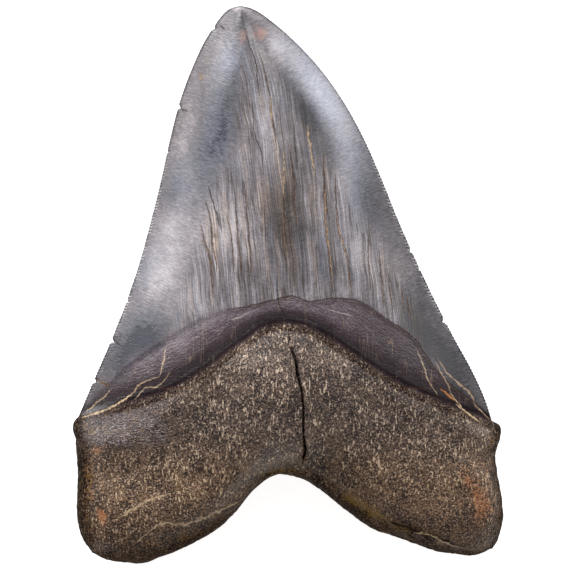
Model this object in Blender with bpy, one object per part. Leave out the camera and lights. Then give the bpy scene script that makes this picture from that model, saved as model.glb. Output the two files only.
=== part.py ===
"""A megalodon tooth at its real size: one natural piece, so one closed solid named "tooth".

The tooth lies on its flatter outer face, as a loose tooth does on a table, with the domed inner face up.
The tip points to +Y and the two root lobes to -Y. The origin is on the table under the middle of its box.

The surface is a function of two numbers. v runs down the tooth, from 0 at the tip through NECK, where the
root begins, to 1 along the forked lower edge of the root. u runs across it, from -1 on the left outline
through 0 on the long axis to 1 on the right outline. plan() says where (u, v) lies on the table, and
inner_height() and outer_height() say how high the upper and the lower face are there.
Every size is in millimetres, until the mesh is made in metres.
"""

import math

import bmesh
import bpy
import numpy as np

MM = 0.001

# ------------------------------------------------------------------ driving sizes, in millimetres
EDGE_TOOTH = 0.32  # how far a serration stands out
BLADE_STRIP = 1.1  # width of the thin strip along each outline that carries the serrations
ROOT_SIDE_ROUND = 9.0  # radius to which the root's flanks are rounded
ROOT_BASE_ROUND = 11.0  # the same for the root's forked lower edge
ROOT_FRONT = 9.0  # how far a root lobe stands above the level of its outline, before it slopes away
LOBE_SLOPE = 1.9  # how much lower the lobes' outer ends are
ROOT_BOSS = 9.6  # how much further the boss in the middle of the root stands
BOSS_CENTRE = (0.5, -23.0)
BOSS_SPREAD = (25.0, 20.0)
ROOT_BACK = 8.8  # how far a root lobe reaches down below the level of its outline
BACK_HOLLOW = 4.0  # how much less it reaches down in the middle, between the lobes
HOLLOW_SPREAD = 21.0
NECK_STEP = 0.35  # the band between enamel and root lies this much below the enamel
NECK_TROUGH = 0.9  # depth of the groove along the root's upper border
BACK_STEP = 0.45  # the enamel of the outer face ends this much above the root
FISSURE_WIDTH = 0.84  # the crack down the middle of the root
FISSURE_DEPTH = 2.2
FISSURE_TOP = -13.0
FISSURE_FOOT = -45.0
NICKS = [  # chips out of the cutting edge: side, height on the tooth, depth, half width
    (-1, 64.2, 0.45, 0.7), (-1, 44.3, 0.7, 0.7), (-1, 33.0, 0.3, 0.5), (-1, -4.3, 0.4, 0.6),
    (-1, -14.2, 0.8, 0.7), (-1, -24.3, 0.7, 0.7), (1, 8.3, 0.5, 0.8), (1, 3.7, 0.3, 0.5),
    (1, -9.2, 0.7, 0.9),
]  # fmt: skip

# ------------------------------------------------------------------ how finely the surface is divided
NECK = 0.72  # v where the root begins
ROW_TEETH = [2, 2, 3, 3] + 24 * [4] + 6 * [3] + 12 * [2]  # serrations from one row of the crown to the next
ROOT_ROWS = 16
BASE_CROWDING = 1.2  # power that leaves fewer rows at the neck and more at the lower edge
HALF_COLUMNS = 15
FLANK_CROWDING = 0.3  # how strongly the columns crowd towards the outline
FISSURE_COLUMN = 0.0082  # u of the columns that edge the fissure

# ------------------------------------------------------------------ the outline and the long axis
LEFT_BLADE = [
    (-12.0, 69.8), (-14.8, 68.9), (-16.8, 67.0), (-18.9, 64.0), (-20.8, 61.0), (-23.2, 56.0),
    (-27.0, 46.0), (-29.6, 36.0), (-31.8, 26.0), (-34.3, 16.0), (-37.0, 6.0), (-40.3, -4.0),
    (-44.2, -14.0), (-48.5, -24.0), (-52.3, -33.0),
]  # fmt: skip
LEFT_ROOT = [
    (-52.3, -33.0), (-53.7, -34.7), (-53.9, -36.2), (-53.3, -38.6), (-53.1, -42.0),
    (-52.6, -47.0), (-53.0, -54.0), (-52.7, -59.5), (-51.6, -63.7), (-49.0, -67.2),
]  # fmt: skip
RIGHT_BLADE = [
    (-12.0, 69.8), (-9.4, 69.2), (-7.0, 68.0), (-4.8, 66.4), (-1.8, 64.0), (1.5, 61.0),
    (6.3, 56.0), (13.7, 46.0), (19.2, 36.0), (23.6, 26.0), (27.6, 16.0), (32.0, 6.0),
    (36.7, -4.0), (41.8, -14.0), (45.9, -21.5), (49.3, -29.0), (51.0, -34.3),
]  # fmt: skip
RIGHT_ROOT = [
    (51.0, -34.3), (52.9, -35.3), (53.4, -37.0), (52.9, -39.6), (52.0, -43.0),
    (52.6, -48.0), (53.6, -53.5), (53.7, -59.0), (52.9, -63.2), (51.2, -66.2),
]  # fmt: skip
LEFT_BASE = [
    (-49.0, -67.2), (-45.8, -68.8), (-41.5, -69.6), (-37.5, -69.8), (-31.0, -68.0),
    (-22.0, -64.0), (-17.4, -61.2), (-13.0, -56.9), (-8.5, -51.5), (-5.5, -48.9),
    (-2.4, -47.6), (1.0, -48.1), (4.0, -49.3),
]  # fmt: skip
RIGHT_BASE = [
    (4.0, -49.3), (8.0, -51.5), (14.0, -56.4), (20.0, -60.5), (27.5, -63.7),
    (35.0, -66.2), (42.0, -67.7), (47.0, -67.9), (51.2, -66.2),
]  # fmt: skip
CROWN_AXIS = [
    (-12.0, 69.8), (-9.0, 58.0), (-6.3, 44.0), (-4.2, 30.0), (-2.6, 14.0), (-1.2, 0.0), (0.0, -10.5),
]  # fmt: skip
ROOT_AXIS = [(0.0, -10.5), (2.0, -20.0), (3.4, -29.5), (4.0, -39.0), (4.0, -49.3)]

# ------------------------------------------------------------------ lines that cross the tooth, y against x
ROOT_BORDER = [
    (-56.0, -34.0), (-52.3, -33.0), (-44.5, -31.0), (-38.3, -29.2), (-27.0, -25.2), (-20.8, -21.5),
    (-15.8, -17.8), (-10.7, -14.0), (-6.5, -11.2), (-2.0, -9.9), (3.0, -10.3), (8.0, -12.2),
    (14.3, -16.2), (20.5, -20.4), (28.0, -24.8), (35.5, -28.3), (43.0, -31.3), (51.0, -34.3), (56.0, -36.0),
]  # fmt: skip
ENAMEL_BORDER = [
    (-56.0, -35.0), (-51.5, -31.8), (-45.3, -25.5), (-38.8, -19.5), (-32.0, -14.8), (-24.5, -10.2),
    (-17.0, -7.0), (-9.5, -5.5), (-2.5, -3.8), (1.0, -3.1), (5.0, -4.4), (11.3, -3.6), (16.5, -4.0),
    (24.8, -9.0), (32.5, -15.0), (36.5, -21.0), (41.0, -25.5), (47.5, -30.4), (51.0, -33.5), (56.0, -37.0),
]  # fmt: skip
BACK_BORDER = [
    (-56.0, -34.2), (-52.3, -33.0), (-40.0, -27.6), (-20.0, -21.6), (0.0, -20.0),
    (20.0, -22.2), (40.0, -28.8), (51.0, -34.3), (56.0, -37.0),
]  # fmt: skip

# ------------------------------------------------------------------ heights above the table
# the outline's against v, and the long axis's on both faces of the crown against the distance from the tip
OUTLINE_HEIGHT = [(0.0, 3.3), (0.2, 4.2), (0.4, 5.0), (0.6, 6.6), (NECK, 8.0), (0.85, 8.6), (1.0, 8.6)]
INNER_RIDGE = [
    (0.0, 3.3), (0.4, 4.6), (1.5, 5.9), (4.0, 7.3), (9.0, 9.1), (18.0, 11.4),
    (36.0, 15.2), (55.0, 18.6), (72.0, 21.2), (82.0, 22.6), (100.0, 24.0),
]  # fmt: skip
OUTER_RIDGE = [
    (0.0, 3.3), (0.4, 2.5), (1.5, 1.6), (4.0, 0.7), (8.0, 0.0), (13.0, -0.25), (20.0, -0.2),
    (30.0, 0.3), (50.0, 1.5), (70.0, 2.3), (90.0, 2.9), (120.0, 3.4),
]  # fmt: skip
CROWN_AXIS_LENGTH = 81.6
ROOT_HEIGHT = 36.0
BORDER_REACH = 0.26  # how far above and below the neck, in v, the rows feel the root's border
INNER_DOME = 1.15  # power of the cosine that shapes the crown's inner face across
OUTER_FLATNESS = 2.7  # power that keeps the crown's outer face flat across


def smooth(knots, values, at):
    """Reads a smooth curve through values at the knots: one cubic piece between two knots, with the slope
    at each knot taken from its neighbours."""
    knots = np.asarray(knots, float)
    values = np.asarray(values, float)
    slopes = np.gradient(values, knots, axis=0)
    at = np.clip(at, knots[0], knots[-1])
    i = np.clip(np.searchsorted(knots, at, side="right") - 1, 0, len(knots) - 2)
    width = knots[i + 1] - knots[i]
    t = (at - knots[i]) / width
    if values.ndim == 2:
        t = t[..., None]
        width = width[..., None]
    rise = values[i] * (2 * t**3 - 3 * t**2 + 1) + values[i + 1] * (3 * t**2 - 2 * t**3)
    return rise + width * (slopes[i] * (t**3 - 2 * t**2 + t) + slopes[i + 1] * (t**3 - t**2))


def table(pairs, at):
    """Reads a smooth curve given as (place, value) pairs."""
    places, values = zip(*pairs)
    return smooth(places, values, at)


def along(points, share):
    """The place at a share, from 0 to 1, of the length of a smooth path through the points."""
    points = np.asarray(points, float)
    steps = np.hypot(*np.diff(points, axis=0).T)
    knots = np.concatenate([[0.0], np.cumsum(steps)]) / steps.sum()
    return smooth(knots, points, share)


def down(upper, lower, v):
    """The place at v on a path that changes from upper to lower at the neck."""
    below = ((v - NECK) / (1 - NECK)).clip(0, 1)
    return np.where((v <= NECK)[..., None], along(upper, (v / NECK).clip(0, 1)), along(lower, below))


def step(low, high, value):
    """Rises smoothly from 0 to 1 between low and high."""
    t = ((value - low) / (high - low)).clip(0, 1)
    return t * t * (3 - 2 * t)


def half_width(v):
    """Half the distance between the left and the right outline."""
    left = down(LEFT_BLADE, LEFT_ROOT, v)
    right = down(RIGHT_BLADE, RIGHT_ROOT, v)
    return np.hypot(*np.moveaxis(right - left, -1, 0)) / 2


def hanging(u, v):
    """A row of the surface as a chain hung from the left and right outlines that passes the axis."""
    left = down(LEFT_BLADE, LEFT_ROOT, v)
    right = down(RIGHT_BLADE, RIGHT_ROOT, v)
    axis = down(CROWN_AXIS, ROOT_AXIS, v)
    share = ((1 + u) / 2)[..., None]
    straight = left * (1 - share) + right * share
    bow = axis - (left + right) / 2
    sharpness = 1 + 2 * step(0.2, NECK, v)
    x = straight[..., 0] + bow[..., 0] * (1 - u**2)
    y = straight[..., 1] + bow[..., 1] * (1 - u**2).clip(0, 1) ** sharpness
    return x, y


def plan(u, v, border):
    """Where (u, v) lies on the table: hanging(), drawn onto the forked lower edge as v nears 1, and onto
    the root's border on that face where v is near the neck."""
    x, y = hanging(u, v)
    base_x, base_y = hanging(u, np.ones_like(u))
    neck_x, neck_y = hanging(u, np.full_like(u, NECK))
    left, right = along(LEFT_BASE, (1 + u).clip(0, 1)), along(RIGHT_BASE, u.clip(0, 1))
    fork = np.where((u <= 0)[..., None], left, right)
    pull = ((v - NECK) / (1 - NECK)).clip(0, 1) ** 2
    near_neck = step(NECK - BORDER_REACH, NECK, v) * (1 - step(NECK, NECK + BORDER_REACH, v))
    x = x + pull * (fork[..., 0] - base_x)
    y = y + pull * (fork[..., 1] - base_y) + near_neck * (table(border, neck_x) - neck_y)
    return x, y


def below(border, x, y):
    """How far (x, y) lies below a line across the tooth, measured square to the line."""
    slope = (table(border, x + 0.5) - table(border, x - 0.5)) / 1.0
    return (table(border, x) - y) / np.hypot(1, slope)


def rounding(u, v):
    """The root's outline seen from the side: 1 inside, falling to 0 on the outline as a quarter circle."""
    side = (1 - half_width(v) * (1 - np.abs(u)) / ROOT_SIDE_ROUND).clip(0, 1)
    base = (1 - ROOT_HEIGHT * (1 - v) / (1 - NECK) / ROOT_BASE_ROUND).clip(0, 1)
    return np.sqrt((1 - side**2) * (1 - base**2))


def boss(x, y):
    """A smooth hump, 1 high, over the middle of the root."""
    across = (x - BOSS_CENTRE[0]) / BOSS_SPREAD[0]
    along_axis = (y - BOSS_CENTRE[1]) / BOSS_SPREAD[1]
    return np.exp(-(across**2) - along_axis**2)


def fissure(u, v, y):
    """The depth of the V-shaped crack that follows u = 0 down the root."""
    off_axis = np.abs(u) * half_width(v)
    wedge = (1 - off_axis / (FISSURE_WIDTH / 2)).clip(0, 1)
    ends = step(FISSURE_TOP, FISSURE_TOP - 6, y) * step(FISSURE_FOOT, FISSURE_FOOT + 3, y)
    return FISSURE_DEPTH * wedge * ends


def inner_height(u, v, x, y):
    """The upper, domed face: the crown's lens, the band below it, the groove and the root with its boss."""
    outline = table(OUTLINE_HEIGHT, v)
    ridge = table(INNER_RIDGE, v / NECK * CROWN_AXIS_LENGTH)
    crown = (ridge - outline) * np.cos(math.pi / 2 * u).clip(0, 1) ** INNER_DOME
    root_depth = below(ROOT_BORDER, x, y)
    inside = 1 - np.abs(u) ** 10
    crown = crown - NECK_STEP * inside * step(-0.2, 0.8, below(ENAMEL_BORDER, x, y))
    lobe = ROOT_FRONT - LOBE_SLOPE * u**2
    root = (lobe + ROOT_BOSS * boss(x, y)) * rounding(u, v)
    trough = NECK_TROUGH * inside * np.exp(-(((root_depth + 1.6) / 1.9) ** 2))
    in_root = step(-1.6, 2.2, root_depth)
    return outline + crown * (1 - in_root) + root * in_root - trough - fissure(u, v, y)


def outer_height(u, v, x, y):
    """The lower, flatter face. Where it would dip below the table it is worn flat, and there it rests."""
    outline = table(OUTLINE_HEIGHT, v)
    ridge = table(OUTER_RIDGE, v / NECK * CROWN_AXIS_LENGTH)
    crown = (outline - ridge) * (1 - np.abs(u) ** OUTER_FLATNESS)
    root = (ROOT_BACK - BACK_HOLLOW * np.exp(-((x / HOLLOW_SPREAD) ** 2))) * rounding(u, v)
    root_depth = below(BACK_BORDER, x, y)
    crown = crown + BACK_STEP * (1 - np.abs(u) ** 10) * step(-7, -1, root_depth)
    in_root = step(-1.0, 2.4, root_depth)
    return (outline - crown * (1 - in_root) - root * in_root).clip(0, None)


def serrated(side, v):
    """The outline on one side (-1 left, 1 right) with the crown's serrations: each stands out square to
    the edge, and they die away at the tip and at the neck."""
    edge = down(LEFT_BLADE, LEFT_ROOT, v) if side < 0 else down(RIGHT_BLADE, RIGHT_ROOT, v)
    run = np.gradient(edge, axis=0)
    outwards = side * np.stack([-run[:, 1], run[:, 0]], axis=1) / np.hypot(*run.T)[:, None]
    peak = np.arange(len(v)) % 2
    fade = step(0.0, 0.03, v) * (1 - step(NECK - 0.03, NECK, v))
    stand = EDGE_TOOTH * (peak - 0.5) * fade
    for nicked, height, depth, reach in NICKS:
        if nicked == side:
            stand = stand - depth * (1 - np.abs(edge[:, 1] - height) / reach).clip(0, 1)
    return edge + outwards * stand[:, None]


def row_places():
    """v of every point of the outline, two to a serration, and which of those points begin a row."""
    teeth = sum(ROW_TEETH)
    share = np.linspace(0, 1, ROOT_ROWS + 1)[1:]
    root = NECK + (1 - NECK) * np.sin(math.pi / 2 * share**BASE_CROWDING)
    outline = np.concatenate([np.linspace(0, NECK, 2 * teeth + 1), root])
    starts = np.concatenate([[0], 2 * np.cumsum(ROW_TEETH), 2 * teeth + np.arange(1, ROOT_ROWS + 1)])
    return outline, starts


def column_places(v, fissured):
    """u of the columns of every row: closer together at the flanks, and on a fissured face two of them
    follow the sides of the fissure."""
    even = np.linspace(0, 1, HALF_COLUMNS + 1)[1:]
    crowded = (1 - FLANK_CROWDING) * even + FLANK_CROWDING * np.sin(math.pi / 2 * even)
    beside = np.full(len(v), crowded[0] / 2)
    if fissured:
        beside += (FISSURE_COLUMN - beside) * step(NECK - 0.1, NECK, v) * (1 - step(0.97, 1, v))
    half = np.column_stack([beside, np.tile(crowded, (len(v), 1))])
    return np.column_stack([-half[:, ::-1], np.zeros(len(v)), half])


def face_points(height, border, rows, fissured):
    """The points of one face as rows by columns by three."""
    columns = column_places(rows, fissured)
    v = np.repeat(rows[:, None], columns.shape[1], axis=1)
    width = half_width(v)
    u = columns * (1 - np.minimum(BLADE_STRIP, 0.35 * width) / width)
    x, y = plan(u, v, border)
    return np.stack([x, y, height(u, v, x, y)], axis=-1)


def add_points(mesh, points):
    """Adds an array of points, in millimetres, to the mesh. Gives its vertices, in the array's shape."""
    flat = [mesh.verts.new(point * MM) for point in points.reshape(-1, 3)]
    made = np.empty(len(flat), object)
    made[:] = flat
    return made.reshape(points.shape[:-1])


def add_strip(mesh, coarse, fine, starts, turned):
    """Fills the gap between two rows of vertices. starts gives the point of fine beside each of coarse."""
    for i in range(len(coarse) - 1):
        ring = [coarse[i], coarse[i + 1], *fine[starts[i] : starts[i + 1] + 1][::-1]]
        ring = [corner for n, corner in enumerate(ring) if corner is not ring[n - 1]]
        mesh.faces.new(ring[::-1] if turned else ring)


def make_tooth():
    """Joins the two faces along the serrated outline and the root's lower edge into one closed mesh."""
    outline, starts = row_places()
    mesh = bmesh.new()
    base_u = column_places(outline[-1:], False)[0]
    x, y = plan(base_u, np.ones_like(base_u), ROOT_BORDER)
    base = add_points(mesh, np.column_stack([x, y, table(OUTLINE_HEIGHT, np.ones_like(x))]))
    tip = add_points(mesh, np.array([[*LEFT_BLADE[0], OUTLINE_HEIGHT[0][1]]]))

    edges = {}
    for side, corner in ((-1, base[:1]), (1, base[-1:])):
        edge = serrated(side, outline)[1:-1]
        level = table(OUTLINE_HEIGHT, outline[1:-1])
        edges[side] = np.concatenate([tip, add_points(mesh, np.column_stack([edge, level])), corner])

    one_to_one = np.arange(len(base))
    for height, border, inner in ((inner_height, ROOT_BORDER, True), (outer_height, BACK_BORDER, False)):
        face = add_points(mesh, face_points(height, border, outline[starts[1:-1]], inner))
        grid = np.concatenate([np.repeat(tip[None], face.shape[1], axis=1), face, base[None]])
        for upper, lower in zip(grid[:-1], grid[1:]):
            add_strip(mesh, upper, lower, one_to_one, inner)
        add_strip(mesh, grid[:, 0], edges[-1], starts, inner)
        add_strip(mesh, grid[:, -1], edges[1], starts, not inner)
    return mesh


def enamel_and_bone():
    """One finish for the whole solid: slate grey, half glossy fossil enamel."""
    material = bpy.data.materials.new("fossil_tooth")
    material.use_nodes = True
    shader = material.node_tree.nodes["Principled BSDF"]
    shader.inputs["Base Color"].default_value = (0.15, 0.138, 0.142, 1.0)
    shader.inputs["Roughness"].default_value = 0.4
    shader.inputs["Metallic"].default_value = 0.0
    return material


def main():
    for old in list(bpy.data.objects):
        bpy.data.objects.remove(old)
    mesh = make_tooth()
    data = bpy.data.meshes.new("tooth")
    mesh.to_mesh(data)
    mesh.free()
    data.shade_smooth()
    data.materials.append(enamel_and_bone())
    tooth = bpy.data.objects.new("tooth", data)
    bpy.context.scene.collection.objects.link(tooth)


main()
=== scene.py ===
# %% [markdown]
# # A fossil megalodon tooth
#
# The tooth lies on its flatter outer face, with the domed inner face up, the tip towards +Y and the two
# root lobes towards -Y. It grew as one piece, so this script makes one piece: a closed skin that is worked
# out with numpy, and one finish that changes from enamel to band to root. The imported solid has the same
# form with fewer faces, and the new skin takes its place.

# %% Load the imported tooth
import itertools
import math

import bmesh
import bpy
import numpy as np
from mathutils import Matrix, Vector


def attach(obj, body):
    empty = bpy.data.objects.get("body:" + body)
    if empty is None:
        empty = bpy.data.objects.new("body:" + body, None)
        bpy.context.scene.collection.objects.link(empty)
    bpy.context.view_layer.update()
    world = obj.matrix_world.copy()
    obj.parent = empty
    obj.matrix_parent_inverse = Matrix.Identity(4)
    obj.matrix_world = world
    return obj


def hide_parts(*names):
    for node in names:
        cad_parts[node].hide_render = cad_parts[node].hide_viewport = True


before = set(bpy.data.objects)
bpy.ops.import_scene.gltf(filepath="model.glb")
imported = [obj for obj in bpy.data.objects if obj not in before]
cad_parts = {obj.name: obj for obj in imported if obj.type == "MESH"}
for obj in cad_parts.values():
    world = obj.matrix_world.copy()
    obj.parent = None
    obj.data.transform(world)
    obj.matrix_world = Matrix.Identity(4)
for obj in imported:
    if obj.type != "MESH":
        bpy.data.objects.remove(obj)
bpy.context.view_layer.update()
MM = 0.001

# %% [markdown]
# ## Smooth lines through a few points
#
# The outline, the long axis and the borders of enamel and root are each known at a dozen places. A line
# that passes every place with no corner is a chain of cubic pieces: at each place it takes the slope
# of its neighbours. Blender's own curves could do this too, but a function of numpy arrays can be asked
# for a hundred thousand places at once.


# %% A smooth curve
def smooth(knots, values, at):
    """Cubic pieces between the knots. With t from 0 to 1 between two knots, the height is
    a (2t^3 - 3t^2 + 1) + b (3t^2 - 2t^3), plus each end's slope times its own cubic."""
    knots, values = np.asarray(knots, float), np.asarray(values, float)
    slopes = np.gradient(values, knots, axis=0)
    at = np.clip(at, knots[0], knots[-1])
    i = np.clip(np.searchsorted(knots, at, side="right") - 1, 0, len(knots) - 2)
    width = knots[i + 1] - knots[i]
    t = (at - knots[i]) / width
    if values.ndim == 2:
        t, width = t[..., None], width[..., None]
    height = values[i] * (2 * t**3 - 3 * t**2 + 1) + values[i + 1] * (3 * t**2 - 2 * t**3)
    return height + width * (slopes[i] * (t**3 - 2 * t**2 + t) + slopes[i + 1] * (t**3 - t**2))


def table(pairs, at):
    """A smooth curve given as (place, value) pairs, read at the places asked for."""
    return smooth(*zip(*pairs), at)


def along(points, share):
    """The place at a share, from 0 to 1, of the length of a smooth path through the points."""
    points = np.asarray(points, float)
    steps = np.hypot(*np.diff(points, axis=0).T)
    return smooth(np.concatenate([[0.0], np.cumsum(steps)]) / steps.sum(), points, share)


def rise(value, low, high):
    """0 below low, 1 above high and t^2 (3 - 2t) between them."""
    t = ((value - low) / (high - low)).clip(0, 1)
    return t * t * (3 - 2 * t)


# %% [markdown]
# ## The outline and the lines across the tooth
#
# All sizes are in millimetres. The two blades run from the tip to the shoulders, where the root begins.
# The root's flanks run on to its lower corners, and the forked lower edge joins them by way of the arch.

# %% Places on the outline
TIP = (-12.0, 69.8)
LEFT_SHOULDER, RIGHT_SHOULDER = (-52.3, -33.0), (51.0, -34.3)
LEFT_CORNER, RIGHT_CORNER = (-49.0, -67.2), (51.2, -66.2)
NECK_MIDDLE = (0.0, -10.5)
ARCH = (4.0, -49.3)
LEFT_BLADE = [
    TIP, (-14.8, 68.9), (-16.8, 67), (-18.9, 64), (-20.8, 61), (-23.2, 56), (-27, 46), (-29.6, 36),
    (-31.8, 26), (-34.3, 16), (-37, 6), (-40.3, -4), (-44.2, -14), (-48.5, -24), LEFT_SHOULDER,
]  # fmt: skip
LEFT_ROOT = [
    LEFT_SHOULDER, (-53.7, -34.7), (-53.9, -36.2), (-53.3, -38.6), (-53.1, -42), (-52.6, -47),
    (-53, -54), (-52.7, -59.5), (-51.6, -63.7), LEFT_CORNER,
]  # fmt: skip
RIGHT_BLADE = [
    TIP, (-9.4, 69.2), (-7, 68), (-4.8, 66.4), (-1.8, 64), (1.5, 61), (6.3, 56), (13.7, 46), (19.2, 36),
    (23.6, 26), (27.6, 16), (32, 6), (36.7, -4), (41.8, -14), (45.9, -21.5), (49.3, -29), RIGHT_SHOULDER,
]  # fmt: skip
RIGHT_ROOT = [
    RIGHT_SHOULDER, (52.9, -35.3), (53.4, -37), (52.9, -39.6), (52, -43), (52.6, -48), (53.6, -53.5),
    (53.7, -59), (52.9, -63.2), RIGHT_CORNER,
]  # fmt: skip
LEFT_BASE = [
    LEFT_CORNER, (-45.8, -68.8), (-41.5, -69.6), (-37.5, -69.8), (-31, -68), (-22, -64), (-17.4, -61.2),
    (-13, -56.9), (-8.5, -51.5), (-5.5, -48.9), (-2.4, -47.6), (1, -48.1), ARCH,
]  # fmt: skip
RIGHT_BASE = [
    ARCH, (8, -51.5), (14, -56.4), (20, -60.5), (27.5, -63.7), (35, -66.2), (42, -67.7), (47, -67.9),
    RIGHT_CORNER,
]  # fmt: skip
CROWN_AXIS = [TIP, (-9, 58), (-6.3, 44), (-4.2, 30), (-2.6, 14), (-1.2, 0), NECK_MIDDLE]
ROOT_AXIS = [
    NECK_MIDDLE, (0.3, -13), (0.5, -15.2), (1.1, -16.9), (2.1, -20.2), (2.4, -22.9), (3.2, -26),
    (3.5, -28.7), (3.8, -31.4), (3.8, -35.7), (4, -39), (4.2, -41.4), (3.7, -43.8), (3.7, -46), ARCH,
]  # fmt: skip

# %% Lines across the tooth, as y against x
ROOT_BORDER = [
    (-56, -34), (-52.3, -33), (-44.5, -31), (-38.3, -29.2), (-27, -25.2), (-20.8, -21.5), (-15.8, -17.8),
    (-10.7, -14), (-6.5, -11.2), (-2, -9.9), (3, -10.3), (8, -12.2), (14.3, -16.2), (20.5, -20.4),
    (28, -24.8), (35.5, -28.3), (43, -31.3), (51, -34.3), (56, -36),
]  # fmt: skip
ENAMEL_BORDER = [
    (-56, -35), (-51.5, -31.8), (-45.3, -25.5), (-38.8, -19.5), (-32, -14.8), (-24.5, -10.2), (-17, -7),
    (-9.5, -5.5), (-2.5, -3.8), (1, -3.1), (5, -4.4), (11.3, -3.6), (16.5, -4), (24.8, -9), (32.5, -15),
    (36.5, -21), (41, -25.5), (47.5, -30.4), (51, -33.5), (56, -37),
]  # fmt: skip
BACK_BORDER = [
    (-56, -34.2), (-52.3, -33), (-40, -27.6), (-20, -21.6), (0, -20), (20, -22.2), (40, -28.8),
    (51, -34.3), (56, -37),
]  # fmt: skip
NECK = 0.72  # the share of the way from tip to lower edge where the root begins
lengths = [float(np.hypot(*np.diff(blade, axis=0).T).sum()) for blade in (LEFT_BLADE, RIGHT_BLADE)]
print("blades, mm:", [round(length, 1) for length in lengths])

# %% [markdown]
# ## Rows and columns
#
# The skin has two parameters. v runs down the tooth, 0 at the tip and 1 along the forked lower edge. u runs
# across, -1 on the left outline, 0 on the long axis and 1 on the right outline. A row of constant v hangs
# between the two outlines like a chain that passes the axis. Near the shoulders it is drawn onto the root's
# border, so that the step there runs along the grid and stays sharp, and below them onto the lower edge.


# %% Where a row and a column meet
BORDER_REACH = 0.26  # how far above and below the neck the rows are drawn towards the border


def down(upper, lower, v):
    """The place at v on a path that is upper above the neck and lower below it."""
    below = ((v - NECK) / (1 - NECK)).clip(0, 1)
    return np.where((v <= NECK)[..., None], along(upper, (v / NECK).clip(0, 1)), along(lower, below))


def flank(side, v):
    """The place at v on the left outline, where side is -1, or on the right one, where it is 1."""
    return down(LEFT_BLADE, LEFT_ROOT, v) if side < 0 else down(RIGHT_BLADE, RIGHT_ROOT, v)


def half_width(v):
    """Half the straight distance between the left and the right outline."""
    return np.hypot(*np.moveaxis(flank(1, v) - flank(-1, v), -1, 0)) / 2


def hanging(u, v):
    """A point of the chain: the straight line between the outlines, plus a bow that is full on the
    axis and dies away as 1 - u^2 across and as a power of 1 - u^2 along the tooth."""
    left, right = flank(-1, v), flank(1, v)
    bow = down(CROWN_AXIS, ROOT_AXIS, v) - (left + right) / 2
    share = ((1 + u) / 2)[..., None]
    straight = left * (1 - share) + right * share
    hollow = (1 - u**2).clip(0, 1)
    x = straight[..., 0] + bow[..., 0] * hollow
    return x, straight[..., 1] + bow[..., 1] * hollow ** (1 + 2 * rise(v, 0.2, NECK))


def plan(u, v, border):
    """The place of (u, v) seen from above: the hanging chain, moved to the fork near v = 1 and to the
    border near v = NECK."""
    x, y = hanging(u, v)
    base_x, base_y = hanging(u, np.ones_like(u))
    neck_x, neck_y = hanging(u, np.full_like(u, NECK))
    left, right = along(LEFT_BASE, (1 + u).clip(0, 1)), along(RIGHT_BASE, u.clip(0, 1))
    fork = np.where((u <= 0)[..., None], left, right)
    pull = ((v - NECK) / (1 - NECK)).clip(0, 1) ** 2
    near = rise(v, NECK - BORDER_REACH, NECK) * (1 - rise(v, NECK, NECK + BORDER_REACH))
    x = x + pull * (fork[..., 0] - base_x)
    return x, y + pull * (fork[..., 1] - base_y) + near * (table(border, neck_x) - neck_y)


# %% [markdown]
# ## Heights
#
# Seen from the side, the crown is a lens that thickens from the tip to the neck, domed above and nearly
# flat below. A band of thinner stuff lies between its enamel and the root. The root is a thick, rounded
# fork, with a boss in the middle of its upper side, a hollow under it, and a fissure down the middle.
# Where its lower side would reach below the table it is worn flat, and there the tooth rests.

# %% Heights along the tooth
OUTLINE_HEIGHT = [(0, 3.3), (0.2, 4.2), (0.4, 5), (0.6, 6.6), (NECK, 8), (0.85, 8.6), (1, 8.6)]
INNER_RIDGE = [
    (0, 3.3), (0.4, 4.6), (1.5, 5.9), (4, 7.3), (9, 9.1), (18, 11.4), (36, 15.2), (55, 18.6), (72, 21.2),
    (82, 22.6), (100, 24),
]  # fmt: skip
OUTER_RIDGE = [
    (0, 3.3), (0.4, 2.5), (1.5, 1.6), (4, 0.7), (8, 0), (13, -0.25), (20, -0.2), (30, 0.3), (50, 1.5),
    (70, 2.3), (90, 2.9), (120, 3.4),
]  # fmt: skip
CROWN_AXIS_LENGTH = 81.6
ROOT_WIDTH = 36.0  # from the neck to the lower edge, along the surface
FLANK_ROUNDING = 9.0  # how far inside the flanks the root reaches its full height
BASE_ROUNDING = 11.0  # and how far inside its lower edge
FISSURE_DEPTH = 2.2
FISSURE_HALF_WIDTH = 0.17
BAND_STEP = 0.35  # how far the band lies below the enamel
TROUGH_DEPTH = 0.9  # of the groove between the band and the root
ROOT_HEIGHT = 9.0  # of the root's upper face over its outline, on the axis
BOSS_HEIGHT = 9.6  # of the boss over that
ROOT_DEPTH = 8.8  # of the root's lower face under its outline
HOLLOW_DEPTH = 4.0  # of the hollow between the lobes
BACK_STEP = 0.45  # how far the lower side bulges just above the root
print("greatest height along the axis, mm:", max(height for place, height in INNER_RIDGE))


# %% The heights of the two faces
def below(border, x, y):
    """How far a point lies below a line across the tooth, measured square to the line."""
    slope = table(border, x + 0.5) - table(border, x - 0.5)
    return (table(border, x) - y) / np.hypot(1, slope)


def rounding(u, v):
    """1 inside the root, falling as a quarter circle to 0 at its flanks and its lower edge."""
    side = (1 - half_width(v) * (1 - np.abs(u)) / FLANK_ROUNDING).clip(0, 1)
    base = (1 - ROOT_WIDTH * (1 - v) / (1 - NECK) / BASE_ROUNDING).clip(0, 1)
    return np.sqrt((1 - side**2) * (1 - base**2))


def fissure(u, v, y):
    """The depth of a V-shaped crack along u = 0, open from below the border to above the arch."""
    wedge = (1 - np.abs(u) * half_width(v) / FISSURE_HALF_WIDTH).clip(0, 1)
    return FISSURE_DEPTH * wedge * rise(-y, 13, 19) * rise(y, -45, -42)


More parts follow.
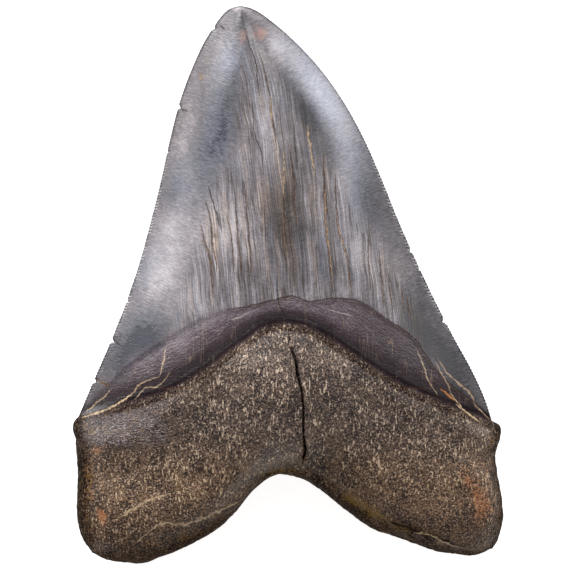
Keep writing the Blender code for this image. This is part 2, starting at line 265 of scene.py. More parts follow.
def inner_height(u, v, x, y):
    """The upper face: the outline's height plus a cosine across, less the band's step and the groove,
    changing at the root's border into the root's rounded slab with its boss."""
    outline = table(OUTLINE_HEIGHT, v)
    ridge = table(INNER_RIDGE, v / NECK * CROWN_AXIS_LENGTH)
    crown = (ridge - outline) * np.cos(math.pi / 2 * u).clip(0, 1) ** 1.15
    inside = 1 - np.abs(u) ** 10
    crown = crown - BAND_STEP * inside * rise(below(ENAMEL_BORDER, x, y), -0.2, 0.8)
    boss = BOSS_HEIGHT * np.exp(-(((x - 0.5) / 25) ** 2) - ((y + 23) / 20) ** 2)
    root = (ROOT_HEIGHT - 1.9 * u**2 + boss) * rounding(u, v)
    depth = below(ROOT_BORDER, x, y)
    trough = TROUGH_DEPTH * inside * np.exp(-(((depth + 1.6) / 1.9) ** 2))
    soft = 6.5 * (1 - rise(x, -38, -22)) + 3.0 * rise(x, 18, 32)
    in_root = rise(depth, -1.6, 2.2 + soft)
    return outline + crown * (1 - in_root) + root * in_root - trough - fissure(u, v, y)


def outer_height(u, v, x, y):
    """The lower face, nearly flat across the crown, with the hollow between the lobes, and never below 0."""
    outline = table(OUTLINE_HEIGHT, v)
    ridge = table(OUTER_RIDGE, v / NECK * CROWN_AXIS_LENGTH)
    crown = (outline - ridge) * (1 - np.abs(u) ** 2.7)
    root = (ROOT_DEPTH - HOLLOW_DEPTH * np.exp(-((x / 21) ** 2))) * rounding(u, v)
    depth = below(BACK_BORDER, x, y)
    crown = crown + BACK_STEP * (1 - np.abs(u) ** 10) * rise(depth, -7, -1)
    in_root = rise(depth, -1.0, 2.4)
    return (outline - crown * (1 - in_root) - root * in_root).clip(0, None)


middle = [np.array([value]) for value in (0.0, NECK, *NECK_MIDDLE)]  # u, v, x and y
thickness = inner_height(*middle) - outer_height(*middle)
print("thickness at the neck, mm:", round(float(thickness[0]), 1))

# %% [markdown]
# ## The cutting edge
#
# Each blade carries about 150 serrations, one every 0.8 mm. They are rounded bumps square to the outline,
# with shallow grooves between them that run a millimetre onto both faces. An old tooth has chips in this
# edge too. Both are made by moving the outermost points, so a strip along each outline has more rows than
# the rest of the skin: six for each serration.

# %% Serrations and chips
SERRATIONS = 148
SERRATION_HEIGHT = 0.16
THINNING = 0.28  # the share of its thickness that the edge loses between two serrations
STRIP = 1.5  # width of the finely divided strip
NICKS = [  # side, height on the tooth, depth, half width
    (-1, 64.2, 0.45, 0.7), (-1, 44.3, 0.7, 0.7), (-1, 33, 0.3, 0.5), (-1, -4.3, 0.4, 0.6),
    (-1, -14.2, 0.8, 0.7), (-1, -24.3, 0.7, 0.7), (1, 8.3, 0.5, 0.8), (1, 3.7, 0.3, 0.5),
    (1, -9.2, 0.7, 0.9),
]  # fmt: skip


def cut_edge(side, v, from_edge, points):
    """Moves a strip's points square to the outline, out by the serrations and in by the chips, and thins the
    blade between serrations. The wave is minus a cosine. Every move fades towards the strip's inner side."""
    place = flank(side, v[:, 0])
    run = np.gradient(place, axis=0)
    outwards = side * np.stack([-run[:, 1], run[:, 0]], axis=1) / np.hypot(*run.T)[:, None]
    fade = (0.3 + 0.7 * rise(v, 0.12, 0.35)) * rise(v, 0.0, 0.03) * (1 - rise(v, NECK - 0.03, NECK))
    wave = -np.cos(2 * math.pi * SERRATIONS * v / NECK)
    nearness = (1 - from_edge / STRIP).clip(0, 1)
    move = SERRATION_HEIGHT / 2 * wave * fade * nearness**3
    for nicked, height, depth, reach in NICKS:
        if nicked == side:
            move = move - depth * (1 - np.abs(place[:, 1:] - height) / reach).clip(0, 1) * nearness
    level = table(OUTLINE_HEIGHT, v)
    thin = 1 - THINNING * (1 - wave) / 2 * fade * np.sqrt(nearness)
    x, y = points[..., 0] + move * outwards[:, :1], points[..., 1] + move * outwards[:, 1:]
    return np.stack([x, y, level + (points[..., 2] - level) * thin], axis=-1)


print("serrations, mm apart:", [round(length / SERRATIONS, 2) for length in lengths])

# %% [markdown]
# ## Rows, columns and strips
#
# Both faces are grids with the same rows and columns. On the upper face the columns next to the axis close
# up in the root, so that the fissure between them is narrow and steep. The strips are grids with more
# rows, and fans of triangles join them to the faces.

# %% The four grids' points
CROWN_ROWS = SERRATIONS
ROOT_ROWS = 72
HALF_COLUMNS = 80
CLOSED_WITHIN = 0.08  # the share of the way out within which columns close up on the fissure
FINE = 6  # rows of a strip for each row of a face
STRIP_PLACES = np.array([0.0, 0.15, 0.37, 0.67])  # shares of the strip's width, from the outline inwards

root_share = np.sin(math.pi / 2 * np.linspace(0, 1, ROOT_ROWS + 1)[1:] ** 1.15)
rows = np.concatenate([np.linspace(0, NECK, CROWN_ROWS + 1), NECK + (1 - NECK) * root_share])
fine_rows = np.interp(np.arange(FINE * (len(rows) - 1) + 1) / FINE, np.arange(len(rows)), rows)
print("rows:", len(rows), "rows of a strip:", len(fine_rows), "columns:", 2 * HALF_COLUMNS + 1)


def strip_width(v):
    """The strip's width, narrower where the tooth itself is narrow."""
    return np.minimum(STRIP, 0.35 * half_width(v))


def face_grid(height, border, facing):
    """The points of one face, with u and v. Columns are even, except that near the fissure a share a of
    the way out becomes a^2 / CLOSED_WITHIN."""
    share = np.linspace(-1, 1, 2 * HALF_COLUMNS + 1)[None, :]
    v = np.repeat(rows[:, None], share.shape[1], axis=1)
    closed = np.sign(share) * np.minimum(np.abs(share), share**2 / CLOSED_WITHIN)
    closing = rise(v, NECK - 0.1, NECK) * (1 - rise(v, 0.97, 1)) * (facing > 0)
    width = half_width(v).clip(1e-9)
    u = (share + (closed - share) * closing) * (1 - strip_width(v) / width)
    x, y = plan(u, v, border)
    return np.stack([x, y, height(u, v, x, y)], axis=-1), u, v


def strip_grid(side, height, border):
    """The points of one strip, with u and v. Its columns run from the outline inwards."""
    v = np.repeat(fine_rows[:, None], len(STRIP_PLACES), axis=1)
    from_edge = STRIP_PLACES * strip_width(v)
    u = side * (1 - from_edge / half_width(v).clip(1e-9))
    x, y = plan(u, v, border)
    points = np.stack([x, y, height(u, v, x, y)], axis=-1)
    return cut_edge(side, v, from_edge, points), u, v


# %% Faces by index arithmetic
def grid_faces(shape, first, turned):
    """Four corners for each cell of a grid whose points are numbered row by row."""
    corner = first + np.arange(shape[0] - 1)[:, None] * shape[1] + np.arange(shape[1] - 1)
    cells = np.stack([corner, corner + shape[1], corner + shape[1] + 1, corner + 1], axis=-1).reshape(-1, 4)
    return cells[:, ::-1] if turned else cells


def fan_faces(coarse, fine, turned):
    """Triangles between a coarse column and a fine one: the first half of each row's fine points looks at
    the row's upper coarse point, the second half at its lower one."""
    upper, lower = coarse[:-1], coarse[1:]
    fans = []
    for j in range(FINE):
        apex = upper if j < FINE // 2 else lower
        fans.append(np.stack([apex, fine[j + 1 :: FINE], fine[j::FINE][: len(upper)]], axis=1))
    fans.append(np.stack([upper, lower, fine[FINE // 2 :: FINE]], axis=1))
    fans = np.concatenate(fans)
    return fans[:, ::-1] if turned else fans


# %% [markdown]
# ## One closed skin
#
# The two faces and the four strips are put into one mesh. They share their points along the outline, at
# the tip and along the lower edge, so merging the doubles closes the skin. u, v and the face are kept
# on the mesh as attributes, because the merge renumbers its points.

# %% Number the grids' points and faces
points, us, vs, facings, quads, fans = [], [], [], [], [], []
count = 0
for height, border, facing in ((inner_height, ROOT_BORDER, 1), (outer_height, BACK_BORDER, -1)):
    grids = [face_grid(height, border, facing)] + [strip_grid(side, height, border) for side in (-1, 1)]
    firsts = count + np.cumsum([0] + [grid[1].size for grid in grids])
    count = firsts[-1]
    for (place, u, v), first, inward in zip(grids, firsts, (False, False, True)):
        points.append(place.reshape(-1, 3))
        us.append(u.ravel())
        vs.append(v.ravel())
        facings.append(np.full(u.size, facing))
        quads.append(grid_faces(u.shape, first, (facing < 0) != inward))
    numbers = firsts[0] + np.arange(grids[0][1].size).reshape(grids[0][1].shape)
    strip = np.arange(grids[1][1].size).reshape(grids[1][1].shape)[:, -1]
    fans.append(fan_faces(numbers[:, 0], firsts[1] + strip, facing > 0))
    fans.append(fan_faces(numbers[:, -1], firsts[2] + strip, facing < 0))
print("points:", count, "quads:", sum(map(len, quads)), "triangles in fans:", sum(map(len, fans)))

# %% Put them into one mesh and close it
mesh = bpy.data.meshes.new("fossil_tooth")
faces = np.concatenate(quads).tolist() + np.concatenate(fans).tolist()
mesh.from_pydata(np.concatenate(points) * MM, [], faces)
for name, values in (("u", us), ("v", vs), ("facing", facings)):
    kept = mesh.attributes.new(name, "FLOAT", "POINT")
    kept.data.foreach_set("value", np.concatenate(values).astype(np.float32))

MERGE = 1e-6
work = bmesh.new()
work.from_mesh(mesh)
bmesh.ops.remove_doubles(work, verts=work.verts, dist=MERGE)
open_edges = [edge for edge in work.edges if not edge.is_manifold]
work.to_mesh(mesh)
work.free()
mesh.update()
mesh.calc_loop_triangles()
print("points:", len(mesh.vertices), "triangles:", len(mesh.loop_triangles), "open edges:", len(open_edges))

# %% [markdown]
# ## Fields over the skin
#
# Relief and finish both need to know where on the tooth a point is: how far from the long axis, how far
# inside the outline, how far below the enamel's border and the root's. Worked out once for every point,
# these distances serve the numpy relief now and, kept as attributes, the shader later.


# %% Read the skin back, and measure it
def read(data, name, width=1):
    """One number, or width of them, for each point of the mesh."""
    values = np.empty(len(data) * width)
    data.foreach_get(name, values)
    return values.reshape(-1, width) if width > 1 else values


place = read(mesh.vertices, "co", 3) / MM
normal = read(mesh.vertex_normals, "vector", 3)
u, v, facing = (read(mesh.attributes[name].data, "value") for name in ("u", "v", "facing"))
x, y, z = place.T
inner = facing > 0

AXIS = sorted((y, x) for x, y in CROWN_AXIS + ROOT_AXIS[1:])
fields = {
    "across": x - table(AXIS, y),
    "from_edge": half_width(v) * (1 - np.abs(u)),
    "under_enamel": np.where(inner, below(ENAMEL_BORDER, x, y), below(BACK_BORDER, x, y)),
    "under_root": np.where(inner, below(ROOT_BORDER, x, y), below(BACK_BORDER, x, y)),
}
for name, values in fields.items():
    print(name, "from", round(float(values.min()), 1), "to", round(float(values.max()), 1))

# %% [markdown]
# ## Cracks
#
# Long cracks run down the enamel with its grain, and stained ones cross the band and the root. Each is a
# line through a few places. What is kept for every point is its distance from that line, square to it and
# with a sign, over half the crack's width: between -1 and 1 is inside the crack. A number with a sign
# crosses zero evenly, so the crack stays thin even where the mesh is coarse. At its ends a crack narrows
# to nothing.

# %% Cracks in the enamel
CROWN_CRACKS = [  # colour, half width, places from one end to the other
    ("dark", 0.14, [(-10.8, 63.8), (-9.6, 59.5), (-8.2, 56), (-7.7, 51.1), (-6.8, 45.5)]),
    ("brown", 0.16, [(-8, 59.5), (-6.6, 56), (-5.5, 51.1), (-4.4, 46), (-4.1, 41.7), (-3.5, 38.6),
        (-2.7, 33)]),
    ("tan", 0.12, [(-4.6, 47.5), (-4.3, 44), (-4.1, 41.7), (-3.8, 39.5)]),
    ("brown", 0.14, [(-2.2, 41.5), (-1.3, 36.6), (-1, 32.5), (-1.1, 27), (-1, 18), (-0.6, 9), (-0.4, 2)]),
    ("tan", 0.12, [(-1.1, 33), (-1, 29), (-1.2, 22)]),
    ("brown", 0.16, [(-0.3, 36.5), (0.8, 30.8), (1.5, 25.9), (1.8, 18.5), (2.4, 13)]),
    ("dark", 0.1, [(-9, 46), (-8.6, 40), (-8.1, 36.4), (-7, 34), (-6.1, 27)]),
    ("dark", 0.1, [(1.4, 40), (1.7, 34.8), (2.6, 29.5)]),
    ("tan", 0.16, [(4.8, 40), (5.2, 35.9), (5.9, 32.5), (6.7, 26.5)]),
    ("dark", 0.17, [(-19.9, 24.5), (-18.8, 20.8), (-18, 18), (-17.2, 14.5), (-17, 13.4)]),
    ("brown", 0.22, [(-20.7, 21.5), (-19.6, 17.2), (-19, 13.9), (-19, 10.9), (-18.5, 7.8), (-17.9, 5.6),
        (-17.8, 2.5)]),
    ("brown", 0.22, [(-21.7, 15.2), (-20.9, 11.1), (-20.1, 8.2), (-19.4, 5.5), (-19, 1.9), (-18.8, -1),
        (-18.7, -4)]),
    ("brown", 0.15, [(-15.6, 18), (-14.4, 13.5), (-14, 10.9), (-13.7, 8.2), (-13.5, 5.3), (-13.5, 2)]),
    ("brown", 0.17, [(-13.6, 25), (-13, 20.6), (-12.8, 16.8), (-12.6, 13.5), (-12.4, 10.5), (-11.9, 7),
        (-11.7, 1.5)]),
    ("brown", 0.17, [(-10.8, 26), (-10.5, 19.7), (-10.1, 15.8), (-9.8, 12), (-9.5, 9), (-9.2, 6.3),
        (-9, 2)]),
    ("dark", 0.1, [(-5.9, 20), (-5.7, 15), (-5.5, 9)]),
    ("dark", 0.13, [(-2.7, 3.6), (-2.7, 0), (-2.5, -3.3), (-1.8, -6), (-0.6, -8.4), (0.1, -10.6)]),
    ("brown", 0.24, [(8.8, 33), (9, 25.9), (9.4, 19), (9.4, 14.6), (9.8, 10.1), (10.4, 6.1), (10.9, 0.8),
        (11.5, -2.6)]),
    ("tan", 0.13, [(9.2, 25), (9.5, 14.6), (9.9, 10.1), (10.5, 6.1), (11, 0.8), (11.5, -2.6)]),
    ("brown", 0.22, [(11.7, 28.4), (12, 20), (12.5, 14.1), (13.6, 10.1), (14.5, 7), (15.1, 4.5),
        (15.3, 1.6), (15.8, -3.2)]),
    ("tan", 0.1, [(12, 19), (12.5, 14.1), (13.6, 10.1), (14.5, 7), (15, 5)]),
    ("brown", 0.17, [(20.5, 14.5), (20, 10.1), (20, 6.8), (20.3, 1.2), (20.5, -2.4)]),
    ("brown", 0.18, [(22.6, 9), (23.1, 3.4), (23.4, 0.5), (23.8, -3.3), (24, -6)]),
    ("brown", 0.14, [(25.2, 3.4), (25.4, -1.7), (25.9, -5.1), (26.1, -9)]),
    ("brown", 0.14, [(28.2, 0), (28.5, -3), (28.9, -7)]),
    ("brown", 0.15, [(29.6, -2), (29.9, -5.5), (30.8, -9.5)]),
    ("dark", 0.2, [(-17.6, 65.4), (-16.4, 64.3), (-15.4, 63.6)]),
    ("dark", 0.2, [(-27.6, 44.4), (-26.4, 43.8), (-25, 43.2)]),
    ("dark", 0.2, [(-44.4, -13.8), (-42.8, -14.6), (-41.2, -15.6)]),
    ("brown", 0.25, [(-48.2, -23.6), (-46.4, -24.6), (-44, -25.6)]),
]  # fmt: skip

# %% Cracks across the band and in the root
BAND_CRACKS = [
    ("tan", 0.17, [(-52, -33.5), (-47.8, -32.2), (-43.5, -30.5), (-39.5, -27.8), (-37, -25.2), (-32, -23)]),
    ("tan", 0.13, [(-32, -23.4), (-31, -19), (-30.2, -14.8)]),
    ("tan", 0.14, [(-38.5, -29), (-35.8, -26.2), (-32, -25.2), (-29.2, -21.8)]),
    ("tan", 0.14, [(-51, -32.2), (-46, -28.2), (-44, -26.2)]),
    ("tan", 0.13, [(31.9, -16), (33.9, -20.7), (35.1, -24.2), (37.5, -27.9)]),
    ("tan", 0.12, [(36.3, -18.5), (38.4, -22.5), (39.8, -25), (41, -27.9), (43.4, -30.8), (45.8, -33.5)]),
    ("tan", 0.15, [(37.2, -18.2), (39.8, -22.3), (42.8, -25), (45.8, -27.9), (46.9, -30.3), (51, -34.4)]),
    ("tan", 0.16, [(41.5, -29.7), (44.5, -32), (48, -34.4)]),
    ("rust", 0.2, [(37.8, -25.9), (39.2, -27), (40.6, -28.2), (41.8, -29.4)]),
    ("pale", 0.12, [(-14.6, -9), (-11.5, -8), (-9.2, -6.6)]),
    ("pale", 0.1, [(9.6, -6.1), (13, -7.2), (16.6, -8.1)]),
]  # fmt: skip
ROOT_CRACKS = [
    ("dark", 0.5, [(25, -59), (29, -60.5), (31.8, -61.8), (36.5, -63), (42, -65)]),
    ("tan", 0.26, [(31, -62.1), (35.3, -62.6), (37.7, -63.9), (42.6, -66.2)]),
    ("tan", 0.27, [(-43.4, -59), (-38.5, -56), (-33.8, -53.5), (-28.8, -52)]),
    ("tan", 0.25, [(-38, -64.6), (-31, -59.6), (-27.5, -60), (-21.8, -58.8), (-15.5, -56), (-11.4, -53.8)]),
]  # fmt: skip
CRACKS = CROWN_CRACKS + BAND_CRACKS + ROOT_CRACKS


# %% How far each point is from each crack
FAR = 300.0  # in half widths: what the outer face gets, so that no crack shows there


def crack_field(half, places):
    """Signed distance from the crack over its half width there, which is 4t(1 - t) to the power 0.6 of the
    full half width at a share t of its length."""
    places = np.asarray(places)
    upright = np.abs(np.ptp(places[:, 1])) > np.abs(np.ptp(places[:, 0]))
    run, off = (y, x) if upright else (x, y)
    pairs = sorted((b, a) if upright else (a, b) for a, b in places)
    slope = table(pairs, run + 0.2) - table(pairs, run - 0.2)
    t = ((run - pairs[0][0]) / (pairs[-1][0] - pairs[0][0])).clip(0, 1)
    taper = np.maximum((4 * t * (1 - t)) ** 0.6, 0.02)
    distance = (off - table(pairs, run)) / np.hypot(1, slope / 0.4)
    return np.where(inner, distance / (half * taper), FAR)


cracks = [crack_field(half, places) for colour, half, places in CRACKS]
print("cracks:", len(cracks))

# %% [markdown]
# ## Noise
#
# Nothing grown is even. Gradient noise gives every corner of a lattice a random direction, and a point
# blends how far it lies along the directions of its cell's eight corners. Lattices of several sizes, seeded
# so that every run gives the same tooth, make lumps, wrinkles and pits.


# %% Gradient noise on arrays
LATTICE = 32  # corners along each side, after which the noise repeats
NOISE_GAIN = 1.8  # brings the sum to about -1 to 1


def noise(points, size, seed):
    """About -1 to 1. The weights of a cell's corners are products of 3t^2 - 2t^3 along each axis. The loop
    runs over the eight corners, never over the points."""
    slopes = np.random.default_rng(seed).normal(size=(LATTICE, LATTICE, LATTICE, 3))
    slopes /= np.linalg.norm(slopes, axis=-1, keepdims=True)
    at = points / np.asarray(size, float)
    cell = np.floor(at).astype(int)
    t = at - cell
    weights = t * t * (3 - 2 * t)
    total = np.zeros(len(points))
    for corner in itertools.product((0, 1), repeat=3):
        i, j, k = ((cell + corner) % LATTICE).T
        weight = np.prod(np.where(corner, weights, 1 - weights), axis=1)
        total += weight * ((t - corner) * slopes[i, j, k]).sum(axis=1)
    return NOISE_GAIN * total


# %% [markdown]
# ## Relief
#
# The enamel is nearly smooth: slow swells, and fine ribs along its grain. The band is finely wrinkled. The
# root is bone: lumpy, pitted along its fibres, crumpled where it meets the left shoulder, with a ledge
# broken along the lower edge of the right lobe. Every point moves along its own normal, so the relief also
# runs round the flanks.

# %% Lumps, ribs, wrinkles and pits
enamel = 1 - rise(fields["under_enamel"], -0.6, 0.6)
root = rise(fields["under_root"], 0.0, 2.0)
band = (1 - enamel) * (1 - root)
grain = np.stack([fields["across"], y, z], axis=1)
blade = rise(fields["from_edge"], 0.5, 3.0)

swell = 0.12 * noise(place, 11, 1) + 0.05 * noise(place, 4.5, 2)
ribs = 0.035 * noise(grain, (1.1, 22, 9), 3) + 0.02 * noise(grain, (0.6, 9, 5), 4)
wrinkles = 0.05 * noise(place, (2.2, 1.0, 1.0), 5) + 0.03 * noise(place, 0.9, 6)
lumps = 0.32 * noise(place, 8.5, 7) + 0.16 * noise(place, 3.4, 8)
pits = 0.11 * noise(place, (0.9, 2.0, 0.9), 9) + 0.07 * noise(place, (0.55, 1.2, 0.55), 10)

# %% The crumpled patch and the broken ledge
LEDGE = [(24, -60.3), (29.5, -60.5), (32.2, -62.2), (36, -62.8), (39.8, -64.8), (44.5, -66.2)]
CRUMPLED = (-40.5, -36.5)  # the middle of the crumpled patch
CRUMPLED_REACH = (12, 4.5)

from_patch = np.hypot((x - CRUMPLED[0]) / CRUMPLED_REACH[0], (y - CRUMPLED[1]) / CRUMPLED_REACH[1])
creases = 1 - 2 * np.abs(noise(place, (2.6, 1.1, 2), 11))
crumple = 0.2 * (1 - rise(from_patch, 0.4, 1.2)) * inner * creases
under_ledge = table(LEDGE, x) - y
on_ledge = inner * rise(x, 24, 27) * (1 - rise(x, 42.5, 45.5))
lifted = 0.14 * np.exp(-(((under_ledge + 0.5) / 0.5) ** 2))
ledge = on_ledge * (lifted - 0.45 * rise(under_ledge, -0.1, 0.4))

# %% Move the points
relief = enamel * blade * (swell + ribs) + band * blade * (0.6 * swell + wrinkles)
relief += root * (lumps + pits + crumple + ledge - 0.12)
resting = rise(z, 0.0, 0.6)  # what touches the table stays where it is
place = place + normal * (relief * np.where(inner, 1.0, resting))[:, None]
place[:, 2] = place[:, 2].clip(0, None)
mesh.vertices.foreach_set("co", (place * MM).ravel())
print("relief, mm: from", round(float(relief.min()), 2), "to", round(float(relief.max()), 2))

# %% [markdown]
# ## Stains, painted highlights and painted shade
#
# While the tooth lay buried, minerals coloured it in soft patches: pale and slate in the enamel, brown and
# rust in the root. Some pale patches of the enamel are painted highlights and sheen, and the dark patches of
# the root are painted shade. Each patch is an ellipse that fades outwards. Patches of one kind add up to one
# more field over the skin, which the finish reads as a shift of its colour.


# %% A patch, and pale and dark patches of the enamel, some of them painted highlights
def stained(spots):
    """The sum over the patches of amount times exp(-d^2), where d is the distance counted in radii."""
    total = np.zeros_like(x)
    for cx, cy, across_it, along_it, lean, amount in spots:
        cos, sin = math.cos(math.radians(lean)), math.sin(math.radians(lean))
        a = ((x - cx) * cos + (y - cy) * sin) / across_it
        b = ((y - cy) * cos - (x - cx) * sin) / along_it
        total += amount * np.exp(-(a**2) - b**2)
    return total * inner


# Painted highlights and sheen among these: the bright spot at the tip, the blue-white band down the right
# blade below the tip, the pale spot left of the tip and the sheen on the lower left flank. They add to the
# lamps' own reflections there. The dark spot just below the tip is painted shade over the ridge's highlight.
TONE_AND_SHEEN_SPOTS = [  # x, y, radius across, radius along, lean in degrees, amount
    (-28.5, 24, 3, 5.5, -14, -0.22), (-12.8, 69, 1.6, 0.7, 0, 0.3), (-11.8, 66, 1.5, 2, 0, -0.35),
    (-8.5, 62.5, 6.5, 3.6, 0, -0.16), (-15.5, 57.5, 3.2, 6.5, -18, 0.18), (-3, 60, 3, 4.5, 30, 0.38),
    (4.5, 53, 4, 9, 34, 0.26), (11, 44, 3.4, 9, 30, 0.36), (15, 33, 3.4, 9, 24, 0.12),
    (13.5, 25, 4, 8, 10, 0.26), (16.5, 9, 4.5, 6, 12, 0.2), (-19, 33, 3.8, 11, -8, -0.28),
    (-15, 46, 2.6, 8, -12, -0.2), (-26, 36, 2.6, 10, -12, 0.2), (4.5, 43, 2.6, 9, 30, -0.4),
    (14.5, 15, 2.5, 7, 0, 0.1), (10.5, 31, 2, 5, 10, -0.12), (-6, 38, 3.6, 9, 5, 0.25),
    (20.5, 22, 3.6, 9, 20, -0.26), (6.5, 23, 3, 7, 8, 0.12), (0, 17, 4.5, 9, 0, -0.26),
    (5, -3, 12, 4, 0, 0.14), (-28.5, 15, 5, 8, -12, 0.27), (-15, 13, 7, 11, 0, 0.32),
    (-32, 3, 6, 8, -18, 0.32), (-23.5, -6, 5, 5, 0, 0.2), (-9, 21, 4, 9, 0, 0.1),
    (-37.5, -16, 4.5, 8, -38, -0.66), (22.5, 4, 5, 8, 10, 0.16), (34, -12, 4, 9, 28, -0.42),
    (-42, -10, 2, 6, -22, 0.12), (42, -22, 4, 9, 28, -0.44), (-46, -24, 2.5, 5, -24, -0.1),
]  # fmt: skip
fields["tone"] = stained(TONE_AND_SHEEN_SPOTS)

# %% Brown above 0, slate below
WARM_SPOTS = [
    (-27, 26, 4, 7, -12, -0.6), (-37.5, -17, 4.5, 8, -38, -0.7), (-21.8, 51.8, 0.7, 1.2, 0, 1.2),
    (-20.5, 55.5, 1, 2.2, -20, 0.5), (-26, 38, 2.5, 9, -10, 0.2), (-1, 20, 5, 11, 0, 0.6),
    (9, 24, 4, 10, 8, 0.3), (-14, 14, 7, 10, 0, 0.3), (24, 4, 6, 8, 0, 0.25),
    (-18, 37, 4, 14, -10, -0.9), (8, 48, 6, 18, 30, -0.7), (18, 24, 5, 14, 18, -0.5),
    (-14.5, 56.5, 4, 6, -18, -0.5), (-37, -12, 5, 9, -30, -0.4), (-35, 4, 3, 9, -18, -0.35),
    (40, -18, 5, 9, 28, -0.35),
]  # fmt: skip
fields["warmth"] = stained(WARM_SPOTS)

# %% Painted shade, rust and silt
# Patches of painted shade: by the arch, under the root's border, and along the flanks and lower edge of the
# lobes.
SHADE_SPOTS = [
    (8, -47, 9, 6, 0, 0.42), (16, -54, 6, 5, -40, 0.25), (41, -34, 11, 3.2, -22, 0.45),
    (32, -61, 10, 1.8, -16, 0.45), (-20, -23.5, 7, 4, 30, 0.38), (-51.5, -47, 3.2, 10, 0, 0.55),
    (-50, -62, 3, 5, 0, 0.45), (0, -15.5, 11, 3.2, 0, 0.36), (-40, -31.2, 13, 2.6, 14, 0.3),
    (-31, -34, 9, 4, 15, 0.2), (-36, -44, 9, 5, 0, 0.15), (-28, -64, 12, 4, 15, 0.18),
    (-42, -66, 6, 4, 0, 0.3), (26, -27, 12, 5, -35, 0.2),
]  # fmt: skip
RUST_SPOTS = [
    (-6.8, 62.2, 1.8, 2.2, 0, 0.65), (-11.4, 61.2, 1.3, 2.6, 0, 0.5), (-9, 63.5, 3.5, 2.5, 0, 0.2),
    (-46.2, -58, 1.2, 2.6, 15, 1.1), (-47.8, -41.5, 1.6, 2.2, 0, 0.6), (-48.8, -51.8, 1.4, 2.4, 0, 0.6),
    (-50.5, -46, 1.4, 4, 0, 0.45), (45.2, -49.5, 2, 5, 35, 0.6), (48.8, -56, 3.4, 5, 0, 0.6),
    (48.5, -45, 2, 3, 0, 0.35), (-33.8, -65, 1.6, 1.2, 0, 0.5), (50.5, -38.5, 1.5, 2, 0, 0.35),
]  # fmt: skip
SILT_SPOTS = [
    (-3, -46.5, 10, 2.5, 8, 0.5), (22, -57.2, 4.5, 1.5, -30, 1), (15.8, -53.4, 3.5, 1.5, -38, 1),
    (29, -61.5, 3, 1, -15, 0.5), (-26, -64, 6, 1.8, 18, 0.5), (-12, -57, 5, 1.5, 40, 0.5),
    (-49.5, -52, 2, 8, 0, 0.35), (50.5, -40, 2, 4, 0, 0.4), (-48, -36, 5, 2, 0, 0.35),
]  # fmt: skip
fields |= {"painted_shade": stained(SHADE_SPOTS), "rust": stained(RUST_SPOTS), "silt": stained(SILT_SPOTS)}
print("patches:", sum(map(len, (TONE_AND_SHEEN_SPOTS, WARM_SPOTS, SHADE_SPOTS, RUST_SPOTS, SILT_SPOTS))))

# %% [markdown]
# ## Where each kind of grain shows
#
# The enamel's threads show in the middle of the crown, between two lines that widen towards the neck. The
# root's pale specks are dense under the boss and thin out along the lower edge. The fissure's field is the
# distance from the axis in half widths, as for a crack, and the serration field counts the bumps from the
# tip. The last field is the distance from the nearest outline, the lower edge included.

# %% Threads, specks, fissure and serrations
FIBRE_LEFT = [(-14, -31), (-5, -27), (5, -23), (15, -18.5), (24, -15), (32, -9), (45, -7), (60, -3)]
FIBRE_RIGHT = [(-14, 35), (-5, 33), (5, 28), (15, 24), (24, 18), (32, 14), (45, 10), (60, 3)]
across = fields["across"]
from_left, from_right = across - table(FIBRE_LEFT, y), table(FIBRE_RIGHT, y) - across
fields["fibre"] = rise(from_left, -1.5, 2.5) * rise(from_right, -1.5, 2.5) * rise(-y, -66, -50)
fields["crumpled"] = inner * (1 - rise(from_patch, 0.5, 1.3))

DENSE_SPOTS = [
    (-4, -20, 14, 8, 0, 0.15), (-14, -30, 14, 9, 0, 0.15), (20, -40, 11, 7, 0, 0.14),
    (-24, -46, 10, 8, 0, 0.2), (-37, -58, 8, 5, 0, 0.15), (28, -46, 12, 5, 0, 0.1),
]  # fmt: skip
BARE_SPOTS = [
    (-26, -63.5, 14, 3, 20, 1), (24, -61, 16, 3, -18, 0.8), (34, -57, 10, 5, -12, 0.5),
    (46, -63, 8, 6, 0, 0.8), (-39, -36, 14, 4.5, 0, 0.9), (-31, -58, 8, 4, 25, 0.2),
]  # fmt: skip
fields["specks"] = stained(DENSE_SPOTS) - stained(BARE_SPOTS)

FISSURE_GAP = -14.7  # a bridge of bone crosses the fissure here
open_here = rise(-y, 10.5, 12.0) * rise(y, -45.2, -43.0) * rise(np.abs(y - FISSURE_GAP), 0.1, 0.9)
half_gap = 0.11 - 0.05 * rise(-y, 28, 44)
fields["fissure"] = np.where(inner, across / (half_gap * open_here.clip(0.02)), FAR)
fields["serration"] = v * SERRATIONS / NECK
fields["from_outline"] = np.minimum(fields["from_edge"], ROOT_WIDTH * (1 - v) / (1 - NECK))
print("fields:", ", ".join(fields))

# %% Keep the fields for the shader
for name in ("u", "v", "facing"):
    mesh.attributes.remove(mesh.attributes[name])
fields |= {f"crack_{n}": distance for n, distance in enumerate(cracks)}
for name, values in fields.items():
    kept = mesh.attributes.new(name, "FLOAT", "POINT")
    kept.data.foreach_set("value", values.astype(np.float32))
mesh.shade_smooth()
mesh.update()
tooth = bpy.data.objects.new("fossil_tooth", mesh)
bpy.context.scene.collection.objects.link(tooth)
print("attributes:", len(mesh.attributes))

# %% [markdown]
# ## Shader sums as Python
#
# The finish is worked out at every point from the fields, place and noise. Wired by hand that would be some
# hundred Math nodes. Here a socket is wrapped in a class with the arithmetic signs, so that a formula reads
# as one, and each sign adds its node. Colours aren't numbers: they go through Mix and Vector Math.


